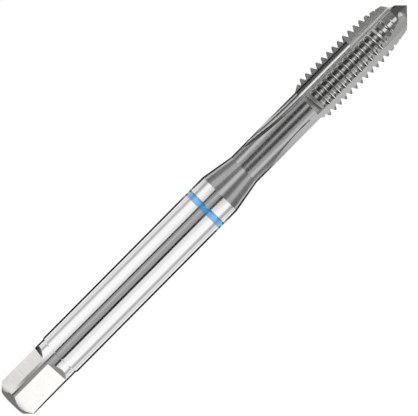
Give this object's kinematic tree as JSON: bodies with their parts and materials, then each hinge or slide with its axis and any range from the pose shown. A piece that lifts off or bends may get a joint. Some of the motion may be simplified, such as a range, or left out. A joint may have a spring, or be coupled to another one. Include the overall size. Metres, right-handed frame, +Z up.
{
  "type": "thread tap",
  "caption": "Spiral-point machine tap with a reinforced round shank, a square drive end, a waisted neck and a blue colour ring, for cutting a right-hand internal thread.",
  "frame": {"origin": "middle of the end face of the drive square, the lowest point as the tap stands on it", "axes": "+Z up the tap's axis, from the square end to the male centre at the cutting tip; the land that faces -Y has its cutting edge towards +X"},
  "size_m": [0.008, 0.008, 0.0931],
  "materials": {
    "ground_steel": "bright ground and polished high-speed steel, duller on the neck and the thread",
    "blue_lacquer": "glossy baked lacquer"
  },
  "bodies": {
    "root": {"tap": "ground_steel", "colour_ring": "blue_lacquer"}
  },
  "joints": []
}
